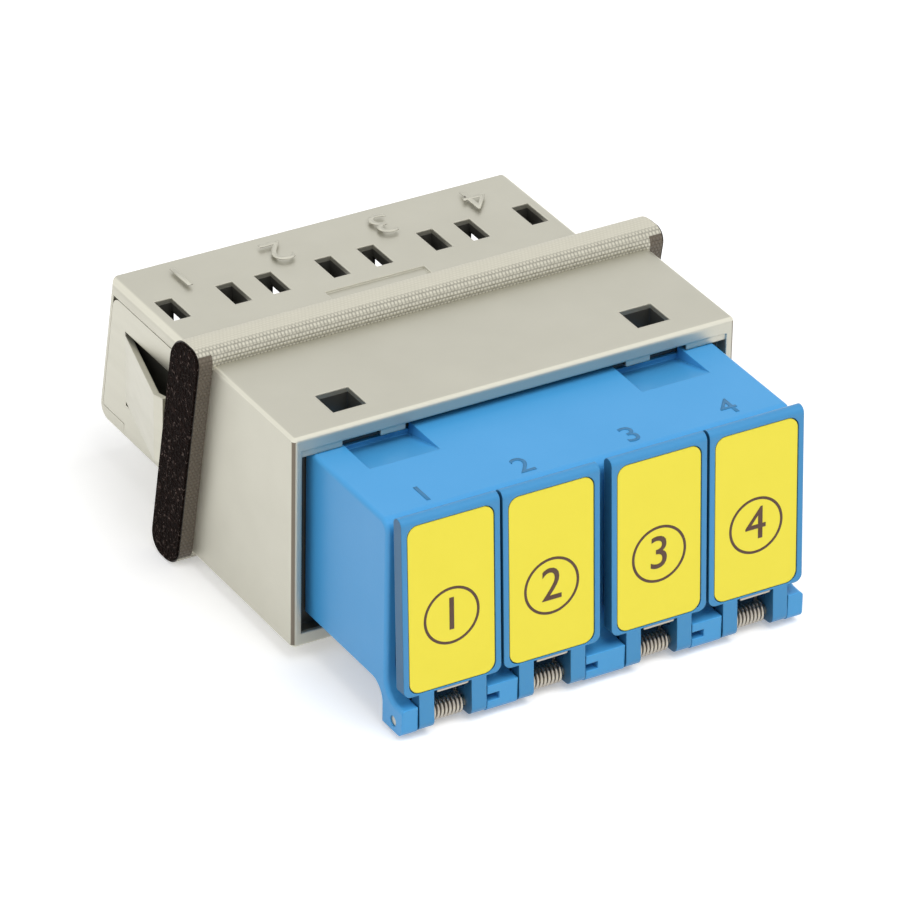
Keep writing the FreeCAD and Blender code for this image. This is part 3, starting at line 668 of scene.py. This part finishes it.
def digit_mesh(text, height, depth):
    """A plain number as a thin solid, centred on the origin and facing +Z."""
    data = bpy.data.curves.new("number", "FONT")
    data.body = text
    data.size = height / 0.7
    data.align_x = "CENTER"
    data.align_y = "CENTER"
    data.extrude = depth / 2
    data.bevel_depth = depth / 4
    data.bevel_resolution = 1
    data.resolution_u = 4
    holder = bpy.data.objects.new("number", data)
    mesh = bpy.data.meshes.new_from_object(holder)
    bpy.data.objects.remove(holder)
    return mesh


def ring_mesh(radius, line, depth):
    """A flat ring facing +Z."""
    shape = bmesh.new()
    bmesh.ops.create_circle(shape, segments=72, radius=radius + line / 2)
    edges = shape.edges[:]
    inner = bmesh.ops.extrude_edge_only(shape, edges=edges)
    verts = [item for item in inner["geom"] if isinstance(item, bmesh.types.BMVert)]
    factor = (radius - line / 2) / (radius + line / 2)
    bmesh.ops.scale(shape, vec=(factor, factor, 1.0), verts=verts)
    bmesh.ops.recalc_face_normals(shape, faces=shape.faces)
    bmesh.ops.solidify(shape, geom=shape.faces[:], thickness=depth)
    bmesh.ops.recalc_face_normals(shape, faces=shape.faces)
    return as_mesh(shape, "ring")


def hinge_point(number):
    """The middle of a door's hinge, from its joint."""
    name = f"door_{number}_hinge"
    joint = next(item for item in frame["joints"] if item["name"] == name)
    return Vector(joint["pos_m"])


def door_matrix(number):
    """Carries the drawing frame of a door to its closed place."""
    lean = bpy.context.scene.adapter_springs.lean
    return Matrix.Translation(hinge_point(number)) @ Matrix.Rotation(-lean, 4, "X")


# ------------------------------------------------------------------- operators

class ADAPTER_OT_shell(bpy.types.Operator):
    """Dress the cast shell, the clip and the hinge pin"""
    bl_idname = "adapter.shell"
    bl_label = "Shell and clip"

    def execute(self, context):
        colours = context.scene.adapter_colours
        dress(["metal_shell"], cast_metal(colours, context.scene.adapter_gasket))
        dress(["panel_clip", "hinge_pin"], sprung_strip(colours))
        return {"FINISHED"}


class ADAPTER_OT_plastic(bpy.types.Operator):
    """Dress the front housing, the doors, the holders and the ceramic sleeves"""
    bl_idname = "adapter.plastic"
    bl_label = "Plastic pieces"

    def execute(self, context):
        colours = context.scene.adapter_colours
        dress(["front_housing"], moulded("blue_plastic", colours.blue, 0.36))
        # The doors take a darker copy of the housing's blue as painted shade, and painted shade on
        # their sides between the doors.
        dress([f"shutter_door_{i}" for i in DOORS],
              moulded("door_plastic_painted_shade", shade(colours.blue, 0.8), 0.34, sides=0.8))
        dress(["sleeve_holder_front", "sleeve_holder_rear"],
              moulded("holder_plastic", colours.holder, 0.45))
        dress([f"alignment_sleeve_{i}" for i in DOORS], glazed(colours))
        return {"FINISHED"}


class ADAPTER_OT_gasket(bpy.types.Operator):
    """Make the gasket: cloth folded round a foam core that shows at both ends"""
    bl_idname = "adapter.gasket"
    bl_label = "Gasket"

    def execute(self, context):
        colours, sizes = context.scene.adapter_colours, context.scene.adapter_gasket
        low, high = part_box("gasket_fabric")
        reach = high[0] - sizes.foam_proud
        cloth = self.slab(sizes, 0.0, -reach, reach)
        cloth = self.pierced(cloth, *self.hole(sizes))
        piece = finish_piece(cloth, "gasket_cloth", gasket_cloth(colours), "adapter")
        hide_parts("gasket_fabric")
        ends = self.slab(sizes, sizes.cloth, reach, high[0])
        other = self.slab(sizes, sizes.cloth, low[0], -reach)
        both = bmesh.new()
        both.from_mesh(ends)
        both.from_mesh(other)
        both.to_mesh(ends)
        both.free()
        bpy.data.meshes.remove(other)
        foam = finish_piece(ends, "gasket_core", gasket_foam(colours), "adapter")
        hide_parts("gasket_foam")
        return {"FINISHED"}

    def slab(self, sizes, inset, left, right):
        """A leaning slab with folded long edges, between two places on X."""
        lean = math.tan(sizes.slant)
        low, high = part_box("gasket_fabric")
        planes = [v.co.y + v.co.z * lean for v in frame["nodes"]["gasket_fabric"].data.vertices]
        front = min(planes) + inset / math.cos(sizes.slant)
        back = max(planes) - inset / math.cos(sizes.slant)
        foot, head = low[2] + inset, high[2] - inset
        shape = bmesh.new()
        corners = ((front, foot, sizes.low_front), (back, foot, sizes.low_back),
                   (back, head, sizes.top_back), (front, head, sizes.top_front))
        verts = [shape.verts.new((left, y - z * lean, z)) for y, z, _ in corners]
        shape.faces.new(verts)
        for vert, (_, _, fold) in zip(verts, corners):
            bmesh.ops.bevel(shape, geom=[vert], offset=fold - inset, segments=10,
                            profile=0.5, affect="VERTICES", material=-1)
        run = bmesh.ops.extrude_face_region(shape, geom=shape.faces[:])
        moved = [item for item in run["geom"] if isinstance(item, bmesh.types.BMVert)]
        bmesh.ops.translate(shape, vec=(right - left, 0.0, 0.0), verts=moved)
        bmesh.ops.recalc_face_normals(shape, faces=shape.faces)
        return as_mesh(shape, "slab")

    def hole(self, sizes):
        """The lowest and highest corners of the hole that the sleeve fills."""
        holder_low, holder_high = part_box("sleeve_holder_front")
        gasket_low, gasket_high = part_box("gasket_fabric")
        middle = (holder_low[2] + holder_high[2]) / 2
        half, up = sizes.sleeve_half + sizes.hole, sizes.sleeve_tall / 2 + sizes.hole
        return (Vector((-half, gasket_low[1] - 0.01, middle - up)),
                Vector((half, gasket_high[1] + 0.01, middle + up)))

    def pierced(self, mesh, low, high):
        """Cut a box out of a mesh."""
        tool_mesh = as_mesh(box_shape(low, high), "cutter")
        tool = bpy.data.objects.new("cutter", tool_mesh)
        holder = bpy.data.objects.new("pierced", mesh)
        for item in (tool, holder):
            bpy.context.scene.collection.objects.link(item)
        cut = holder.modifiers.new("hole", "BOOLEAN")
        cut.operation, cut.solver, cut.object = "DIFFERENCE", "EXACT", tool
        bpy.context.view_layer.update()
        shown = holder.evaluated_get(bpy.context.evaluated_depsgraph_get())
        done = bpy.data.meshes.new_from_object(shown)
        for item in (tool, holder):
            bpy.data.objects.remove(item)
        for old in (tool_mesh, mesh):
            bpy.data.meshes.remove(old)
        return done


class ADAPTER_OT_labels(bpy.types.Operator):
    """Dress the label cards and print a ring with a plain number on each"""
    bl_idname = "adapter.labels"
    bl_label = "Labels"

    def execute(self, context):
        colours, marks = context.scene.adapter_colours, context.scene.adapter_marks
        dress([f"label_{i}" for i in DOORS], label_card(colours))
        ink = label_ink(colours)
        for number in DOORS:
            self.print_mark(number, marks, ink)
        return {"FINISHED"}

    def print_mark(self, number, marks, ink):
        """Lay a ring and a number on the front of a label."""
        card = door_matrix(number).inverted()
        corners = [card @ v.co for v in frame["nodes"][f"label_{number}"].data.vertices]
        front = min(point.y for point in corners)
        middle = (min(p.z for p in corners) + max(p.z for p in corners)) / 2
        place = (door_matrix(number)
                 @ Matrix.Translation((0.0, front - marks.ink / 2, middle - marks.drop))
                 @ Matrix.Rotation(math.radians(90), 4, "X"))
        shapes = (("ring", ring_mesh(marks.ring, marks.line, marks.ink)),
                  ("digit", digit_mesh(str(number), marks.digit, marks.ink)))
        for kind, mesh in shapes:
            move_mesh(mesh, place)
            finish_piece(mesh, f"label_{kind}_{number}", ink, f"door_{number}")


class ADAPTER_OT_springs(bpy.types.Operator):
    """Wind the torsion springs with their two legs"""
    bl_idname = "adapter.springs"
    bl_label = "Torsion springs"

    def execute(self, context):
        sizes = context.scene.adapter_springs
        steel = spring_steel(context.scene.adapter_colours)
        for number in DOORS:
            place = door_matrix(number)
            coil = curve_mesh(self.coil_points(sizes), sizes.wire / 2)
            move_mesh(coil, place)
            piece = finish_piece(coil, f"spring_{number}", steel, f"door_{number}")
            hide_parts(f"torsion_spring_{number}")
            stay = curve_mesh(self.stay_points(sizes), sizes.wire / 2)
            move_mesh(stay, place)
            finish_piece(stay, f"spring_stay_{number}", steel, "adapter")
        return {"FINISHED"}

    def coil_points(self, sizes):
        """The coil, then the leg that rises behind it and hooks over the foot of the door."""
        count = int(sizes.turns * sizes.steps)
        points = []
        for i in range(count + 1):
            share = i / count
            turn = -2 * math.pi * sizes.turns * share
            points.append((sizes.long * (share - 0.5), sizes.radius * math.cos(turn),
                           sizes.radius * math.sin(turn)))
        end, rise, ahead = sizes.long / 2 + sizes.wire * 0.35, sizes.leg, -sizes.front
        back = sizes.radius * 1.08
        points += [(end, back, rise * share) for share in (0.3, 0.6, 0.8)]
        points += [(end, back, rise), (end, ahead, rise), (end - sizes.wire, ahead, rise)]
        points += [(end - sizes.hook * share, ahead, rise) for share in (0.6, 1.0)]
        return points

    def stay_points(self, sizes):
        """The fixed leg, from the back of the coil up to the housing's front."""
        start, back = -sizes.long / 2, sizes.radius
        return [(start, back, 0.0), (start, back * 1.08, sizes.leg * 0.5),
                (start, back * 1.25, sizes.leg), (start, back * 1.42, sizes.leg * 1.35)]


class ADAPTER_OT_skirt(bpy.types.Operator):
    """Close the housing behind the springs with a thin skirt between the ears, in a dark copy of
    the blue that paints the shade behind the springs
    """
    bl_idname = "adapter.skirt"
    bl_label = "Skirt"

    def execute(self, context):
        sizes, colours = context.scene.adapter_springs, context.scene.adapter_colours
        # The skirt's dark blue is painted shade behind the springs.
        dark = moulded("skirt_painted_shade", shade(colours.blue, 0.35), 0.5)
        door_low, door_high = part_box("shutter_door_1")
        half = (door_high[0] - door_low[0]) * SKIRT_SHARE
        nose_foot = hinge_point(1).z + sizes.skirt_top
        for number in DOORS:
            spot = hinge_point(number)
            low = Vector((spot.x - half, spot.y + sizes.skirt_back, spot.z))
            high = Vector((spot.x + half, low.y + sizes.wire, nose_foot))
            shape = box_shape(low, high)
            foot = [edge for edge in shape.edges
                    if all(abs(v.co.z - low.z) < 1e-6 for v in edge.verts)]
            bmesh.ops.bevel(shape, geom=foot, offset=sizes.wire * 0.3, segments=3, profile=0.5,
                            affect="EDGES", material=-1)
            finish_piece(as_mesh(shape, "skirt"), f"skirt_{number}", dark, "adapter")
        return {"FINISHED"}


class ADAPTER_OT_numbers(bpy.types.Operator):
    """Raise plain numbers on the housing and on the sleeve"""
    bl_idname = "adapter.numbers"
    bl_label = "Numbers"

    def execute(self, context):
        marks = context.scene.adapter_marks
        # The housing's numbers take a darker copy of the blue as painted shade, to stand out as
        # shaded letters do.
        blue = moulded("number_blue_painted_shade", shade(context.scene.adapter_colours.blue, 0.55), 0.4)
        metal = frame["nodes"]["metal_shell"].data.materials[0]
        low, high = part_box("front_housing")
        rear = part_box("metal_shell")[1][1]
        for number in DOORS:
            spot = hinge_point(number)
            place = Matrix.Translation((spot.x, low[1] + NOSE_NUMBER_START + marks.nose_back,
                                        high[2]))
            self.raise_number(number, "nose", marks.nose_height, marks.raised, place, blue,
                              "blue_plastic")
        for number in DOORS:
            spot = hinge_point(number)
            turn = Matrix.Rotation(math.radians(180), 4, "Z")
            place = Matrix.Translation((spot.x, rear - SLEEVE_NUMBER_START - marks.sleeve_back,
                                        high[2])) @ turn
            self.raise_number(number, "sleeve", marks.sleeve_height,
                              marks.raised * SLEEVE_NUMBER_SHARE, place, metal, "cast_metal")
        return {"FINISHED"}

    def raise_number(self, number, where, height, raised, place, material, slot):
        """Put one number on a top face."""
        mesh = digit_mesh(str(number), height, raised)
        move_mesh(mesh, place)
        finish_piece(mesh, f"{where}_number_{number}", material, "adapter")


class ADAPTER_OT_stage(bpy.types.Operator):
    """Set the camera, the lamps, the floor and the surroundings"""
    bl_idname = "adapter.stage"
    bl_label = "Stage"

    def execute(self, context):
        stage = context.scene.adapter_stage
        context.scene.view_settings.view_transform = "Standard"
        self.camera(context, stage)
        self.floor(context, stage)
        self.world(context, stage)
        self.lamp(context, "key_lamp", (0.08, -0.18, 0.38), 0.34, stage.key)
        self.lamp(context, "fill_lamp", (-0.30, -0.05, 0.22), 0.30, stage.fill)
        return {"FINISHED"}

    def camera(self, context, stage):
        """A long lens that looks along the set angles past the labels' foot."""
        turn, rise = stage.azimuth, stage.elevation
        right = Vector((math.cos(turn), -math.sin(turn), 0.0))
        ahead = Vector((math.sin(turn) * math.cos(rise), math.cos(turn) * math.cos(rise),
                        -math.sin(rise)))
        up = right.cross(ahead)
        swing = Matrix.Rotation(stage.roll, 3, ahead)
        right, up = swing @ right, swing @ up
        foot = hinge_point(1)
        target = Vector((0.0, foot.y, foot.z)) + LABEL_FOOT
        target += right * stage.across + up * stage.above
        spot = target - ahead * stage.distance
        data = bpy.data.cameras.new("camera")
        data.lens = stage.lens
        data.sensor_width = 36.0
        data.clip_start = 0.01
        data.clip_end = 20.0
        camera = bpy.data.objects.new("camera", data)
        axes = Matrix((right, up, -ahead)).transposed().to_4x4()
        camera.matrix_world = Matrix.Translation(spot) @ axes
        context.scene.collection.objects.link(camera)
        context.scene.camera = camera

    def floor(self, context, stage):
        """A wide pale floor that keeps the soft shadow."""
        shape = bmesh.new()
        bmesh.ops.create_grid(shape, x_segments=1, y_segments=1, size=3.0)
        mesh = as_mesh(shape, "floor")
        floor = bpy.data.objects.new("floor", mesh)
        context.scene.collection.objects.link(floor)
        material, tree, shader, _ = new_material("floor", 0.9, 0.0, 0.1)
        shader.inputs["Base Color"].default_value = (*stage.floor, 1.0)
        glow = maths(tree, "MULTIPLY", self.seen(tree), FLOOR_GLOW)
        tree.links.new(glow, shader.inputs["Emission Strength"])
        shader.inputs["Emission Color"].default_value = (1.0, 1.0, 1.0, 1.0)
        mesh.materials.append(material)

    def seen(self, tree):
        """One for what the camera, a reflection or a refraction looks at."""
        path = tree.nodes.new("ShaderNodeLightPath")
        seen = maths(tree, "MAXIMUM", path.outputs["Is Camera Ray"],
                     path.outputs["Is Transmission Ray"])
        return maths(tree, "MAXIMUM", seen, path.outputs["Is Glossy Ray"])

    def world(self, context, stage):
        """White surroundings that light the object more softly than they look."""
        world = bpy.data.worlds.new("studio")
        world.use_nodes = True
        tree = world.node_tree
        background = tree.nodes["Background"]
        background.inputs["Color"].default_value = (1.0, 1.0, 1.0, 1.0)
        strength = maths(tree, "ADD", maths(tree, "MULTIPLY", self.seen(tree),
                                            1.0 - stage.world), stage.world)
        tree.links.new(strength, background.inputs["Strength"])
        context.scene.world = world

    def lamp(self, context, name, place, size, power):
        """A square soft lamp that faces the adapter and isn't seen in reflections."""
        data = bpy.data.lights.new(name, "AREA")
        data.size = size
        data.energy = power
        lamp = bpy.data.objects.new(name, data)
        lamp.visible_glossy = False
        turned = (LOOK_POINT - Vector(place)).to_track_quat("-Z", "Y").to_matrix().to_4x4()
        lamp.matrix_world = Matrix.Translation(place) @ turned
        context.scene.collection.objects.link(lamp)


class ADAPTER_PT_panel(bpy.types.Panel):
    """Lists the pieces and the stage"""
    bl_idname = "ADAPTER_PT_panel"
    bl_label = "Fibre adapter"
    bl_space_type = "VIEW_3D"
    bl_region_type = "UI"
    bl_category = "Adapter"

    def draw(self, context):
        layout = self.layout
        for group, fields in SETTINGS.items():
            settings = getattr(context.scene, group)
            for field in fields.__annotations__:
                layout.prop(settings, field)
        for operator in OPERATORS:
            layout.operator(operator.bl_idname)


SETTINGS = {"adapter_colours": AdapterColours, "adapter_springs": AdapterSprings,
            "adapter_gasket": AdapterGasket, "adapter_marks": AdapterMarks,
            "adapter_stage": AdapterStage}
OPERATORS = (ADAPTER_OT_shell, ADAPTER_OT_plastic, ADAPTER_OT_gasket, ADAPTER_OT_labels,
             ADAPTER_OT_springs, ADAPTER_OT_skirt, ADAPTER_OT_numbers, ADAPTER_OT_stage)
CLASSES = (*SETTINGS.values(), *OPERATORS, ADAPTER_PT_panel)


def register():
    """Make the classes and their settings known."""
    for item in CLASSES:
        bpy.utils.register_class(item)
    for name, group in SETTINGS.items():
        setattr(bpy.types.Scene, name, PointerProperty(type=group))


def unregister():
    """Take the classes and their settings away again."""
    for name in SETTINGS:
        delattr(bpy.types.Scene, name)
    for item in reversed(CLASSES):
        bpy.utils.unregister_class(item)


def main():
    """Dress the whole adapter."""
    register()
    bpy.ops.adapter.shell()
    bpy.ops.adapter.plastic()
    bpy.ops.adapter.gasket()
    bpy.ops.adapter.labels()
    bpy.ops.adapter.springs()
    bpy.ops.adapter.skirt()
    bpy.ops.adapter.numbers()
    bpy.ops.adapter.stage()


if __name__ == "__main__":
    main()
